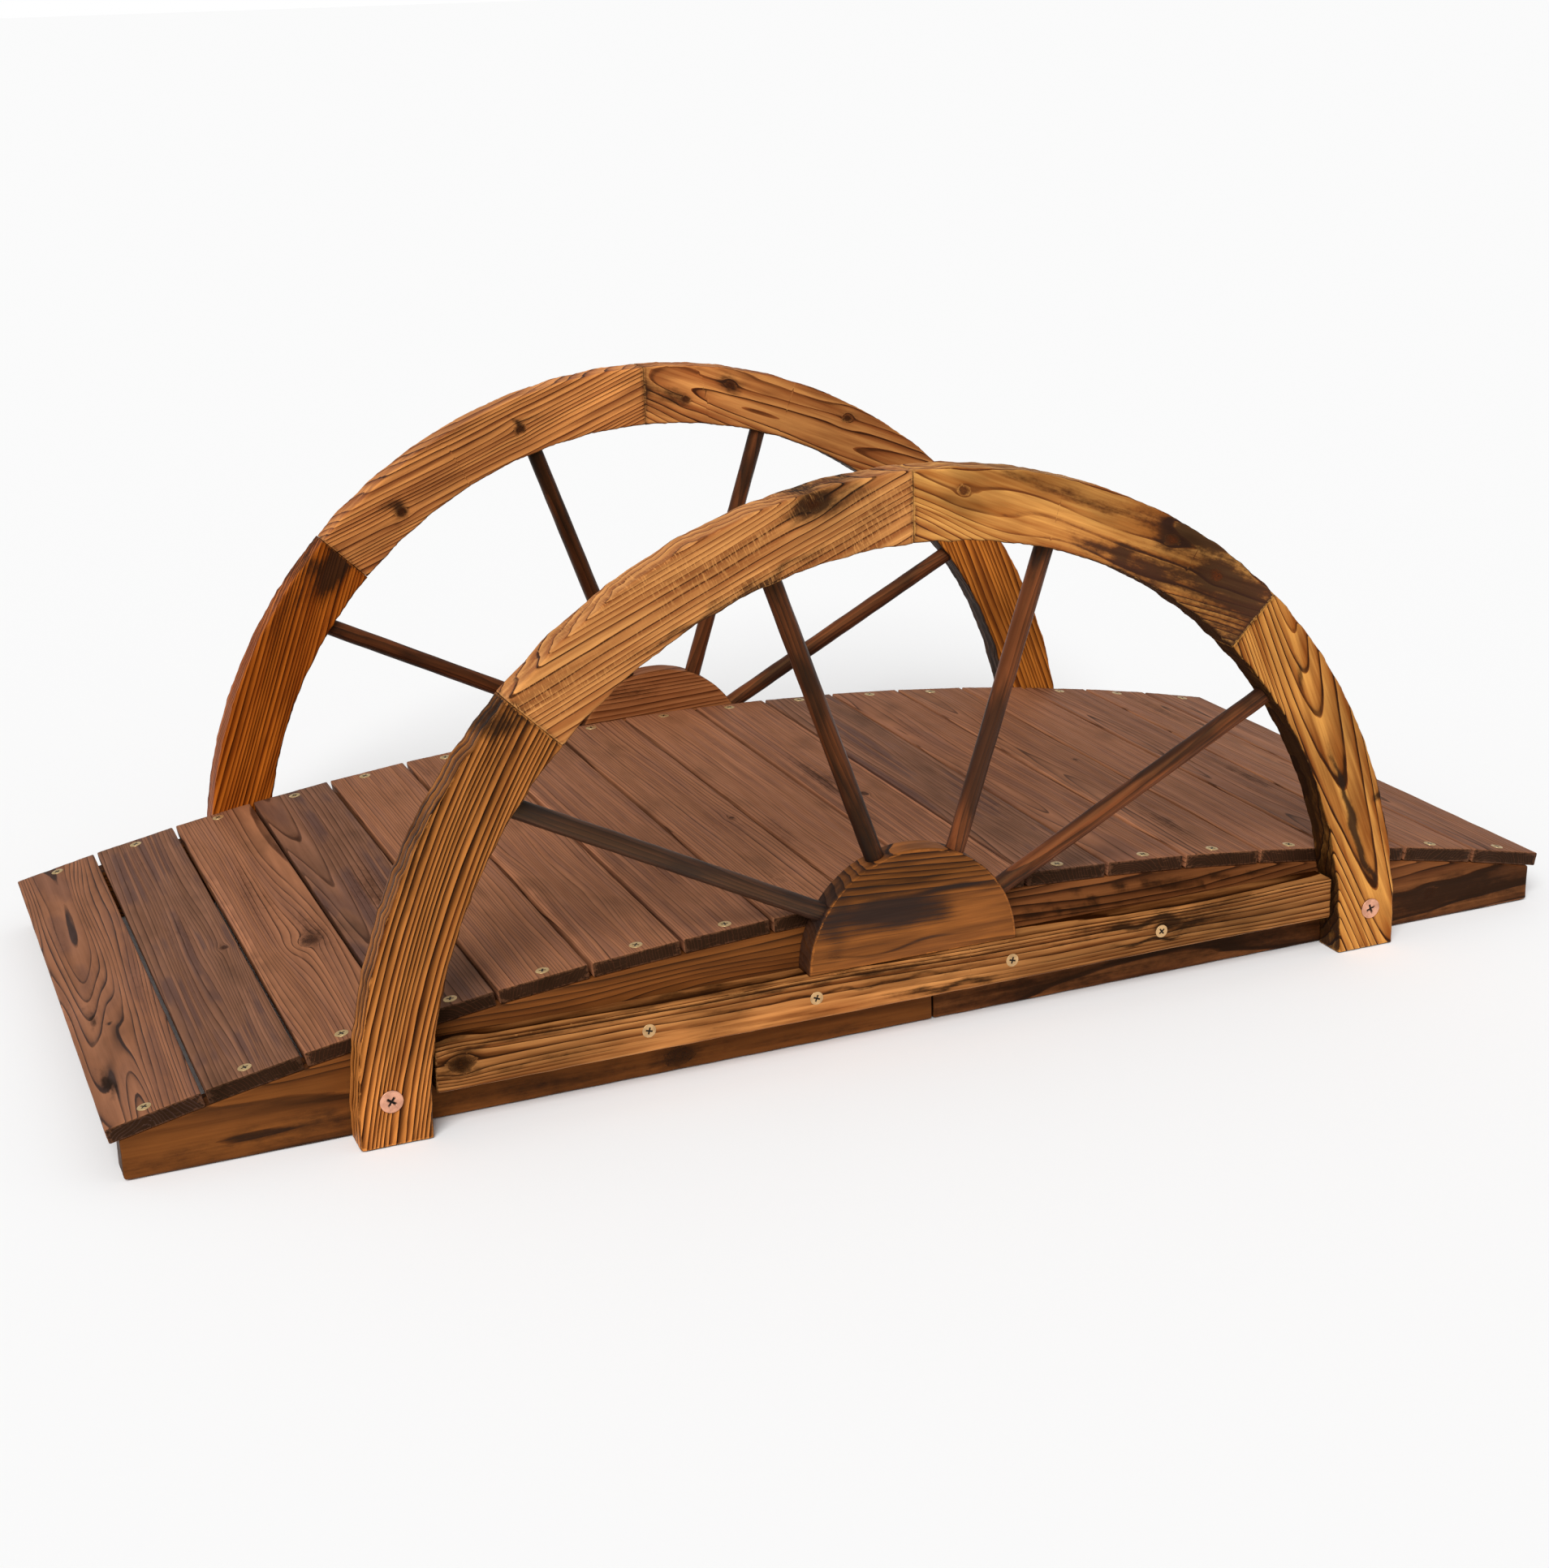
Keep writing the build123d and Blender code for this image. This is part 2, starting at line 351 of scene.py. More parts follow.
def buildWoodGroup():
    # charred and brushed softwood: dark late-wood lines on the year rings, fibre streaks,
    # knots that the rings flow round, scorched patches, pale chips on the edges
    tree = bpy.data.node_groups.new("charredFir", "ShaderNodeTree")
    for name, value in woodInputs.items():
        kind = "NodeSocketColor" if isinstance(value, tuple) else "NodeSocketFloat"
        tree.interface.new_socket(name, in_out="INPUT", socket_type=kind).default_value = paint(value)
    for name, kind in (("Colour", "Color"), ("Roughness", "Float"), ("Height", "Float")):
        tree.interface.new_socket(name, in_out="OUTPUT", socket_type="NodeSocket" + kind)
    given = tree.nodes.new("NodeGroupInput").outputs
    # this tree's own short names for the helpers
    work, rise, blend, read = (partial(helper, tree) for helper in (calc, ramp, blendColour, attribute))
    add, times = partial(work, "ADD"), partial(work, "MULTIPLY")
    grainPlace = read("grainPos", "Vector")

    def grainNoise(name):
        scales, detail, rough = woodNoises[name]
        return noise(tree, stretch(tree, grainPlace, scales), 1.0, detail, rough)

    # fibre streaks along the grain, broader drifts and specks
    fibre, streak, drift, speck = (grainNoise(name) for name in ("fibre", "streak", "drift", "speck"))
    # knots: rings bend round them like water round a stone
    knotSplit = addNode(tree, "ShaderNodeSeparateXYZ", [(0, read("knot", "Vector"))]).outputs
    along = times(knotSplit[0], 0.7)
    away = work("SQRT", add(times(along, along), times(knotSplit[1], knotSplit[1])))
    reach = work("DIVIDE", away, knotSplit[2])
    near = work("DIVIDE", 1.0, add(times(reach, reach), 0.35))
    bend = times(times(times(knotSplit[1], near), -1 / mm), read("ringSlope"))
    ragged = add(add(streak, speck), -1.0)
    knotEdge = add(add(reach, times(ragged, 1.3)), times(noise(tree, grainPlace, 150.0), 1.2))
    inKnot = rise(knotEdge, 1.75, 1.0)
    # year rings, with a slight waver
    waver = times(times(add(grainNoise("waver"), -0.5), 0.55), read("calm"))
    ring = add(add(read("ring"), bend), waver)
    ringFeeds = [(0, inKnot), (2, ring), (3, times(knotEdge, 3.0))]
    ring = addNode(tree, "ShaderNodeMix", ringFeeds, data_type="FLOAT").outputs[0]
    part = work("FRACT", ring)
    number = addNode(tree, "ShaderNodeTexWhiteNoise", [("W", work("FLOOR", ring))],
                     noise_dimensions="1D").outputs["Value"]
    # late wood: a soft rise and a crisp dark core, then a sudden return to pale early wood
    start = work("SUBTRACT", 1.0, times(given["lineWidth"], add(times(number, 0.9), 0.55)))
    soft = work("POWER", rise(part, start, 0.95), 1.5)
    core = rise(add(part, times(number, 0.05)), 0.84, 0.95)
    fall = rise(part, 1.0, 0.955)
    late = times(work("MINIMUM", add(times(soft, 0.6), times(core, 0.6)), 1.0), fall)
    bandFeeds = [("W", times(ring, 0.37)), ("Scale", 1.0), ("Detail", 1.0)]
    bands = addNode(tree, "ShaderNodeTexNoise", bandFeeds, noise_dimensions="1D").outputs[0]
    lined = work("SUBTRACT", 1.0, read("clear"))
    mixUp = add(times(add(part, -0.5), times(lined, 0.35)), 0.175)
    mixUp = add(add(mixUp, times(streak, given["streaks"])), times(add(given["streaks"], -0.85), -0.5))
    base = blend(rise(mixUp, 0.25, 0.85), given["light"], given["mid"])
    hazy = times(times(rise(drift, 0.4, 0.56), rise(bands, 0.44, 0.56)), given["hazeShare"])
    base = blend(hazy, base, given["haze"])
    fade = add(times(rise(grainNoise("fade"), 0.3, 0.6), 0.5), 0.5)
    lineShare = times(times(late, add(times(number, 0.5), 0.55)), times(fade, given["lineStrength"]))
    lineShare = times(work("MINIMUM", lineShare, 1.0), lined)
    base = blend(lineShare, base, given["dark"])
    scorchShare = times(rise(add(drift, times(streak, 0.35)), 0.6, 0.84), given["scorch"])
    base = blend(scorchShare, base, given["dark"])
    # burnt places with ragged edges that follow the grain, their figure still showing
    uneven = times(given["raggedness"], add(ragged, times(add(drift, -0.5), 1.5)))
    burnt = add(read("burn"), uneven)
    burnShare = rise(add(burnt, times(late, 0.22)), 0.12, 0.8)
    burntDepth = rise(add(add(burnt, times(late, 0.5)), times(bands, 0.6)), 0.45, 1.25)
    burntColour = blend(burntDepth, given["dark"], given["charred"])
    base = blend(times(burnShare, 0.93), base, burntColour)
    knotDepth = rise(add(times(late, 0.7), times(speck, 0.6)), 0.3, 0.9)
    knotColour = blend(knotDepth, given["dark"], given["charred"])
    base = blend(times(inKnot, 0.9), base, knotColour)
    # end grain is darker; saw marks are fine pale scratches; worn edges show pale chips
    endShade = blend(late, given["charred"], given["dark"])
    base = blend(times(read("endGrain"), given["endDark"]), base, endShade)
    sawn = times(rise(grainNoise("scratch"), 0.5, 0.68), rise(drift, 0.4, 0.6))
    base = blend(times(sawn, given["sawMarks"]), base, given["light"])
    worn = add(read("wear"), times(speck, 1.6))
    base = blend(times(rise(worn, 1.62, 1.85), given["chips"]), base, given["light"])
    # overall tone, blotches, then fine fibre light and dark
    # the tone attribute also carries painted light and shade, on the felloes' curved faces and on the left
    # beams
    toned = add(times(read("tone"), 0.5), 1.0)
    toned = times(toned, add(times(add(fibre, -0.5), given["fibres"]), 1.0))
    toned = times(toned, add(times(times(add(drift, -0.5), given["blotch"]), 2.4), 1.0))
    shade = addNode(tree, "ShaderNodeCombineXYZ", [(0, toned), (1, toned), (2, toned)]).outputs[0]
    colour = blend(1.0, base, shade, "MULTIPLY")
    roughness = add(given["gloss"], times(add(streak, -0.5), 0.3))
    roughness = work("MINIMUM", add(roughness, times(burnShare, 0.12)), 1.0)
    height = add(add(times(times(late, lined), 0.7), times(fibre, 0.45)), times(speck, 0.2))
    addNode(tree, "NodeGroupOutput", [("Colour", colour), ("Roughness", roughness), ("Height", height)])
    return tree


woodGroup = buildWoodGroup()


def woodMaterial(name, look):
    material, tree, shader = newMaterial(name)
    wood = addNode(tree, "ShaderNodeGroup", node_tree=woodGroup)
    feed(tree, wood, [(key, paint(value)) for key, value in look.items() if key in woodInputs])
    bump = addNode(tree, "ShaderNodeBump", [
        ("Height", wood.outputs["Height"]), ("Strength", look.get("bump", 0.5)), ("Distance", bumpDepth)])
    feed(tree, shader, [
        ("Base Color", wood.outputs["Colour"]), ("Roughness", wood.outputs["Roughness"]),
        ("Normal", bump.outputs["Normal"]), ("Specular IOR Level", look.get("shine", 0.16)),
        ("Specular Tint", paint(woodSheen))])
    return material


def place(piece, node, material):
    piece.data.materials.append(material)
    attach(piece, "root")
    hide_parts(node)


def pieceName(node):
    words = node.split("_")
    return words[0] + "".join(w.capitalize() for w in words[1:]) + "Wood"


def nodeAxes(node):
    # middle, axes from longest to shortest and half sizes of a straight board, from its CAD corners
    points = readVectors(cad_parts[node].data.vertices, "co")
    middle = (points.min(0) + points.max(0)) / 2
    corners = np.unique(np.round(points, 5), axis=0)
    spread = corners - corners.mean(0)
    axes = np.linalg.eigh(spread.T @ spread)[1].T[::-1]
    axes = axes * np.sign(axes[np.arange(3), np.abs(axes).argmax(1)])[:, None]
    halves = np.abs((corners - middle) @ axes.T).max(0)
    return middle, axes, halves


def edgeWear(outline, halfWide, halfThick, rows, reach):
    # 1 on the long edges and end edges, falling to 0 within a few millimetres
    sideGap = np.maximum(halfWide - np.abs(outline[:, 0]), halfThick - np.abs(outline[:, 1]))
    endGap = np.minimum(rows[:, 0], rows[-1, 0] - rows[:, 0]) + rows[:, 2] * halfThick
    closest = np.minimum(sideGap[None, :], np.maximum(endGap[:, None], 0))
    return np.exp(-np.maximum(closest - reach * 0.3, 0) / (reach * 0.8))


def straightBoard(name, middle, axes, halves, board):
    # a rounded section carried straight along the board's first axis
    halfLong, halfWide, halfThick = halves
    outline = roundedOutline(halfWide, halfThick, board["round"], *board["around"])
    rows = stations(2 * halfLong, board["round"], board["along"], board["cap"])
    a, b, c = ringsOf(outline, middleLine(outline, halfWide, halfThick), rows)
    a = a - halfLong
    points = middle + a[..., None] * axes[0] + b[..., None] * axes[1] + c[..., None] * axes[2]
    return closedMesh(name, points, edgeWear(outline, halfWide, halfThick, rows, board["round"]))


# deck planks; around is the steps along a section's top, base and sides and round its corners
deck = dict(
    planks=17, round=0.0014, around=(40, 10, 4, 2), along=90, cap=4,
    slip=0.0012,  # how far a plank may sit off the others' line
    light=(164, 109, 77), mid=(136, 88, 61), dark=(62, 35, 23), charred=(30, 17, 11),
    haze=(106, 70, 55), hazeShare=0.6, lineWidth=0.3, lineStrength=0.9, scorch=0.3, chips=0.15,
    streaks=0.35, gloss=0.58, bump=0.45, shine=0.16, endDark=0.97, blotch=0.75, fibres=0.25,
    shades=(
        dict(),
        dict(light=(170, 113, 78), mid=(136, 88, 61), haze=(110, 74, 60), hazeShare=0.4),
        dict(light=(156, 107, 80), mid=(116, 78, 57), haze=(97, 69, 60), hazeShare=0.9),
        dict(dark=(60, 42, 37), lineWidth=0.45, lineStrength=1.3),
    ),
    shadeOf=(3, 2, 1, 2, 1, 1, 0, 1, 1, 0, 2, 0, 1, 1, 0, 1, 0),
    sapwood=(3, 6, 7, 10, 13),  # these have a pale strip along one edge
    grain=dict(relief=0.1, rough=0.1, halo=0.25),
    # boards seen close: pith (across, below), lean, ring width, sway, tone, knots, burns
    boards={
        1: ((-12, -13), (0.02, 0.03), 3.6, 3.0, 0.0,
            [(-110, -6, 3)], [(-215, -22, 30, 5, 0.8), (-96, -20, 26, 3, 0.7)]),
        2: ((-60, -30), (0.01, 0.0), 2.7, 1.6, -0.12,
            [(-40, 26, 4)], [(-160, 20, 40, 10, 0.3), (40, 0, 50, 20, 0.25)]),
        3: ((34, -20), (-0.01, 0.0), 2.8, 2.2, 0.0,
            [(-86, 14, 8)], [(-60, 20, 60, 10, 0.3), (60, -8, 60, 8, 0.2)]),
        4: ((-22, -24), (0.0, 0.02), 3.0, 2.2, -0.25, [], [(-20, 8, 90, 16, 0.4)]),
        5: ((70, -26), (0.0, 0.0), 2.6, 1.4, 0.1, [], []),
    },
)


def makeDeck():
    materials = [woodMaterial(f"deckFir{k}", {**deck, **shade}) for k, shade in enumerate(deck["shades"])]
    rng = np.random.default_rng(11)
    draw = rng.uniform
    for index in range(1, deck["planks"] + 1):
        node = f"deck_plank_{index:02d}"
        middle, axes, halves = nodeAxes(node)
        axes[2] *= np.sign(axes[2][2])
        slipped = middle + [0, draw(-1, 1) * deck["slip"], 0]
        plank = straightBoard(pieceName(node), slipped, axes, halves, deck)
        side = rng.choice([-1, 1])
        offset = rng.choice([draw(10, 36), draw(45, 90)])
        drawn = ((side * offset, -draw(12, 34)), (draw(-0.02, 0.02), draw(-0.02, 0.02)),
                 draw(2.4, 3.1), draw(1.0, 2.4), draw(-0.15, 0.25),
                 [(draw(-240, 240), draw(-28, 28), draw(2.5, 6))] * int(rng.integers(0, 2)),
                 [(draw(-240, 240), draw(-30, 30), 70, 12, draw(0.1, 0.45))])
        pith, slope, ring, sway, tone, knots, burns = deck["boards"].get(index, drawn)
        sapwood = [(draw(-120, 120), side * 37, 220, 4, 0.9)] if index in deck["sapwood"] else []
        growGrain(plank, middle, axes, dict(
            pith=pith, slope=slope, ring=ring, sway=sway, tone=tone, knots=knots, burns=burns,
            tones=sapwood, seed=100 + index, **deck["grain"],
        ))
        place(plank, node, materials[deck["shadeOf"][index - 1]])
    print("deck planks made")


makeDeck()

# side beams: the section's height follows the arch, its rounded corners stay the same size
beams = dict(
    round=0.0015, around=(30, 12, 10, 2), along=150, cap=8,
    toe=0.004,  # rounding of each outer end's lower corner
    lineWidth=0.6, lineStrength=1.3, scorch=0.35, gloss=0.55, bump=0.4, blotch=0.4,
    grainHeight=0.05, pith=(-30, -30), ring=5.5, sway=4, slope=(0.01, 0), relief=0.1,
    left=dict(
        light=(124, 72, 32), mid=(98, 54, 24), dark=(58, 32, 16), charred=(38, 24, 18),
        seed=40, knots=[(110, -37, 8)], burns=[(-150, -30, 120, 8, 0.4), (0, -42, 900, 12, 0.35)],
        # the first tone spot lightens the beam's upper middle, where the deck shades it: painted light
        tones=[(70, 30, 140, 8, 0.6), (120, -36, 220, 10, -0.35)],
    ),
    right=dict(
        light=(136, 82, 44), mid=(96, 52, 26), dark=(42, 20, 10), charred=(38, 21, 13),
        seed=41, knots=[(200, -25, 6)],
        burns=[(0, -38, 900, 16, 0.6), (250, -22, 70, 12, 0.45), (-130, 38, 100, 3, 0.8),
               (-40, 27, 80, 3, 0.8), (-200, 27, 70, 3, 0.6)],
        tones=[(290, -20, 110, 60, -0.4), (-90, 30, 140, 8, -0.5), (-120, -36, 220, 10, -0.25)],
    ),
)


def makeBeam(node, side, told, material):
    low, high = nodeBox(node)
    middle = (low + high) / 2
    base, thick = bridge["beamEndHeight"] / 2, (high[1] - low[1]) / 2
    outline = roundedOutline(base, thick, beams["round"], *beams["around"])
    rows = stations(high[0] - low[0], beams["round"], beams["along"], beams["cap"])
    a, b, c = ringsOf(outline, middleLine(outline, base, thick), rows)
    x = low[0] + a
    halfTall = archHeight(x) / 2
    flat = base - beams["round"]
    grown = np.where(np.abs(b) < flat, np.abs(b) * (halfTall - beams["round"]) / flat,
                     np.abs(b) + halfTall - base)
    z = halfTall + np.sign(b) * grown
    # the outer end's lower corner is rounded: the bottom is lifted onto a quarter circle
    gap = beams["toe"] - (bridge["beamHalfLength"] - np.abs(x))
    lift = beams["toe"] - np.sqrt(np.clip(beams["toe"] ** 2 - np.clip(gap, 0, None) ** 2, 0, None))
    z = np.maximum(z, np.where(gap > 0, lift, 0))
    points = np.stack([x, middle[1] + c, z], -1)
    beam = closedMesh(pieceName(node), points, edgeWear(outline, base, thick, rows, beams["round"]))
    middle[2] = beams["grainHeight"]
    growGrain(beam, middle, uprightAxes(side), told)
    place(beam, node, material)


def makeBeams():
    for half in ("left", "right"):
        told = {**beams, **beams[half]}
        material = woodMaterial(f"beamFir{half.capitalize()}", told)
        for side in ("near", "far"):
            makeBeam(f"{side}_beam_{half}", side, told, material)
    print("side beams made")


makeBeams()

# tie rails
rails = dict(
    round=0.0022, around=(34, 10, 20, 3), along=220, cap=10,
    light=(200, 136, 76), mid=(116, 61, 25), dark=(40, 14, 1), charred=(28, 12, 5),
    lineWidth=0.7, lineStrength=1.6, scorch=0.45, chips=0.4, bump=0.7, blotch=0.4, streaks=0.7,
    pith=(90, -10), slope=(-0.006, 0.01), ring=4.2, sway=1.5, seed=61, relief=0.16, halo=0.6,
    knots=[(-394, 3, 7), (240, 4, 3)],
    burns=[(-320, -7, 70, 4, 0.5), (262, 3, 34, 6, 0.7), (226, -5, 46, 2, 0.8), (222, 11, 44, 2.5, 0.7),
           (40, -13, 70, 5, 0.75), (0, 16, 500, 4, 0.45), (-60, 3, 160, 2, 0.5), (120, 8, 120, 3, 0.4)],
    clear=[(-90, -14, 260, 12, 1.3)],
    tones=[(-110, -14, 150, 12, 1.2), (240, -8, 190, 14, -0.8), (-330, -6, 70, 16, -0.7),
           (-130, 2, 120, 8, 0.2), (0, 14, 420, 6, -0.1), (330, 6, 80, 14, -0.5)],
)


def makeRails():
    material = woodMaterial("railFir", rails)
    for side in ("near", "far"):
        node = f"{side}_tie_rail"
        low, high = nodeBox(node)
        middle, axes = (low + high) / 2, uprightAxes(side)
        rail = straightBoard(pieceName(node), middle, axes, (high - low)[[0, 2, 1]] / 2, rails)
        growGrain(rail, middle, axes, rails)
        place(rail, node, material)
    print("tie rails made")


makeRails()

# felloes: a rounded bar bent round the wheel, cut from a board whose grain runs along its chord
felloes = dict(
    round=0.0026, around=(54, 34, 18, 3), along=110, cap=10, ease=0.0008,
    lineStrength=1.1, scorch=0.4, bump=0.7, blotch=0.4,
    rimSides=((0.25, 0.0), (-0.6, 0.75)),  # painted light and shade as tone, and char, of the outer and the inner curved face: the outer face lighter, the inner face darker and charred
    # the bandsaw's wander: its depth, the mean of it, wave lengths, and the short wave's share
    saw=dict(depth=0.45, mean=1.2, drift=38, chatter=11, chatterShare=0.4),
    spans={"right_leg": (0, 45), "right_crown": (45, 90), "left_crown": (90, 135), "left_leg": (135, 180)},
)
felloeLooks = {
    "near_rim_left_leg": dict(
        around=(84, 28, 26, 3), light=(214, 136, 66), mid=(100, 42, 8), dark=(34, 8, 0), lineWidth=1.1,
        lineStrength=1.6, scorch=0.3, chips=0.5, bump=1.0, streaks=0.4,
        pith=(-400, -250), slope=(-0.02, 0), ring=3.5, sway=0.4, relief=0.55, seed=3, tone=-0.15,
        follow=0.5, wrap=0.96, rimSides=((-0.35, 0.05), (-0.5, 0.75)),
        burns=[(-165, 4, 14, 26, 0.6), (-120, -20, 60, 14, 0.3), (-60, 22, 90, 8, 0.35)],
        tones=[(168, 0, 80, 60, 0.9), (-90, 0, 110, 60, -0.3)],
    ),
    "near_rim_left_crown": dict(
        light=(218, 152, 86), mid=(154, 88, 44), dark=(58, 25, 9), lineWidth=0.26, lineStrength=1.25,
        chips=0.5, bump=0.6, sawMarks=0.45,
        pith=(-170, -60), slope=(-0.02, 0), ring=5.0, sway=1.6, relief=0.14, seed=5, halo=0.7,
        knots=[(-97, 11, 6)],
        burns=[(-97, 6, 34, 14, 0.5), (-134, 0, 24, 12, 0.4), (20, -26, 70, 6, 0.6),
               (-60, -24, 40, 6, 0.4)],
        tones=[(-120, 0, 40, 40, -0.5), (-20, 0, 90, 40, -0.1), (110, 0, 60, 40, -0.15)],
    ),
    "near_rim_right_crown": dict(
        light=(216, 156, 82), mid=(158, 90, 36), dark=(92, 43, 19), charred=(44, 26, 21), lineWidth=0.32,
        lineStrength=1.3, scorch=0.5, chips=0.4, blotch=0.9, raggedness=0.75,
        pith=(24, -34), slope=(0.05, 0.04), ring=5.5, sway=4.0, relief=0.16, seed=7, stretch=4,
        knots=[(135, -9, 4), (-66, 8, 5), (-120, -8, 5)],
        clear=[(60, -14, 90, 13, 0.8), (0, 0, 40, 8, 0.6)],
        burns=[(-126, 0, 72, 200, 0.62), (-88, 12, 26, 8, 0.5), (-66, -18, 44, 12, 0.4),
               (-60, 22, 60, 12, 0.35), (-28, -14, 14, 9, 0.55), (0, -16, 24, 5, 0.5),
               (-75, 10, 14, 8, 0.4), (-126, -12, 16, 9, 0.4), (-160, -18, 20, 10, 0.4),
               (120, 16, 80, 5, 0.45), (20, 16, 60, 5, 0.4)],
        tones=[(-110, 0, 60, 60, -0.2), (60, -14, 70, 12, 0.35), (90, 20, 120, 12, -0.65)],
    ),
    "near_rim_right_leg": dict(
        light=(218, 152, 74), mid=(142, 74, 24), dark=(50, 20, 3), lineWidth=0.3, lineStrength=1.4,
        chips=0.4, blotch=0.6,
        pith=(-2, -12), slope=(0.03, 0.065), ring=3.9, sway=1.4, relief=0.2, seed=9,
        burns=[(-45, 25, 8, 6, 0.8), (-10, -6, 34, 2.5, 0.8), (-60, -9, 40, 4, 1.0),
               (-105, -6, 30, 3, 0.8), (108, -8, 16, 3, 0.6), (-150, 24, 16, 8, 0.5), (40, 26, 80, 5, 0.3)],
        tones=[(-160, 0, 40, 60, 0.1), (0, 0, 60, 60, -0.3), (40, 18, 90, 12, -0.2),
               (-100, 14, 50, 10, 0.3)],
    ),
    "far_rim_left_leg": dict(
        light=(186, 100, 28), mid=(126, 54, 10), dark=(56, 18, 2), lineWidth=0.8, bump=0.8,
        pith=(-240, -120), slope=(-0.03, 0), ring=3.4, sway=1.2, relief=0.3, seed=13,
        burns=[(-152, -26, 26, 14, 0.8), (-160, -4, 18, 34, 0.4), (-120, 0, 50, 40, 0.25)],
        tones=[(165, 0, 60, 60, 0.8), (-60, 0, 80, 60, -0.15)],
    ),
    "far_rim_left_crown": dict(
        light=(216, 144, 78), mid=(148, 82, 42), dark=(54, 24, 12), lineWidth=0.5, lineStrength=1.25,
        pith=(-200, -40), slope=(0.02, 0), ring=4.4, sway=1.5, relief=0.2, seed=15,
        knots=[(-41, -3, 4), (101, -19, 4)],
        burns=[(-41, 4, 5, 14, 0.5), (-52, 4, 18, 5, 0.4), (101, -16, 10, 12, 0.5), (112, -8, 16, 5, 0.4)],
        tones=[(-140, 0, 60, 60, 0.5), (0, 0, 60, 60, -0.3)],
    ),
    "far_rim_right_crown": dict(
        light=(208, 142, 78), mid=(148, 80, 38), dark=(60, 28, 14), lineWidth=0.35,
        pith=(-10, -32), slope=(0.03, -0.04), ring=5.5, sway=3.0, relief=0.2, seed=17,
        knots=[(87, 4, 5), (128, -24, 4), (-52, 12, 5)],
        burns=[(87, 4, 16, 10, 0.4), (150, -25, 24, 8, 0.7)],
        tones=[(130, 0, 60, 60, 0.6), (-60, 0, 110, 60, -0.4)],
    ),
    "far_rim_right_leg": dict(
        light=(206, 124, 46), mid=(128, 66, 22), dark=(60, 24, 7), lineWidth=0.8, bump=0.8, blotch=0.5,
        pith=(-230, -120), slope=(0.02, 0), ring=4.6, sway=1.2, relief=0.25, seed=19,
        tones=[(120, 0, 60, 60, 0.5), (-10, 0, 60, 60, -0.5)],
    ),
}


def makeFelloe(node, side, low, high):
    boxLow, boxHigh = nodeBox(node)
    halfWide, halfThick = bridge["rimWidth"] / 2, (boxHigh[1] - boxLow[1]) / 2
    middleRadius = -nodeBox(f"{side}_rim_left_leg")[0][0] - halfWide
    y = (boxHigh[1] + boxLow[1]) / 2
    told = {**felloes, "joints": (low, high), "curve": middleRadius / mm, **felloeLooks[node]}
    around = told["around"]
    if side == "far":  # the face towards the walkway is the one with the fine mesh
        around = (around[1], around[0], *around[2:])
    outline = roundedOutline(halfWide, halfThick, felloes["round"], *around)
    length = middleRadius * math.radians(high - low)
    rows = stations(length, felloes["ease"], felloes["along"], felloes["cap"])
    a, b, c = ringsOf(outline, middleLine(outline, halfWide, halfThick), rows)
    radius = middleRadius + b
    share = a / length
    # legs run on past the wheel's middle height to the ground
    foot = np.degrees(np.arcsin(bridge["wheelCentre"] / radius))
    start = low - foot * (low == 0)
    end = high + foot * (high == 180)
    angle = np.radians(start * (1 - share) + end * share)
    # the bandsaw wandered along the outer and inner curves
    saw = felloes["saw"]
    travel = (angle * middleRadius / mm).ravel()[:, None]
    drift = waves(travel, saw["drift"], told["seed"] + 30).reshape(a.shape)
    chatter = waves(travel, saw["chatter"], told["seed"] + 50).reshape(a.shape)
    reach = np.clip(np.abs(b) / halfWide, 0, 1) ** 3
    wander = saw["mean"] + drift + saw["chatterShare"] * chatter
    radius = radius - saw["depth"] * mm * reach * np.sign(b) * wander
    z = bridge["wheelCentre"] + radius * np.sin(angle)
    points = np.stack([radius * np.cos(angle), y + c * outward(side), np.maximum(z, 0)], -1)
    wear = edgeWear(outline, halfWide, halfThick, rows, felloes["round"])
    piece = closedMesh(pieceName(node), points, wear)
    turn = math.radians((low + high) / 2)
    radial = np.array([math.cos(turn), 0, math.sin(turn)])
    chord = np.array([-math.sin(turn), 0, math.cos(turn)])
    middle = radial * middleRadius + [0, y, bridge["wheelCentre"]]
    growGrain(piece, middle, [chord, radial, (0, outward(side), 0)], told)
    place(piece, node, woodMaterial(pieceName(node).replace("Wood", "Fir"), told))


def makeWheels():
    for side in ("near", "far"):
        for part, (low, high) in felloes["spans"].items():
            makeFelloe(f"{side}_rim_{part}", side, low, high)
    print("wheel rims made")


makeWheels()

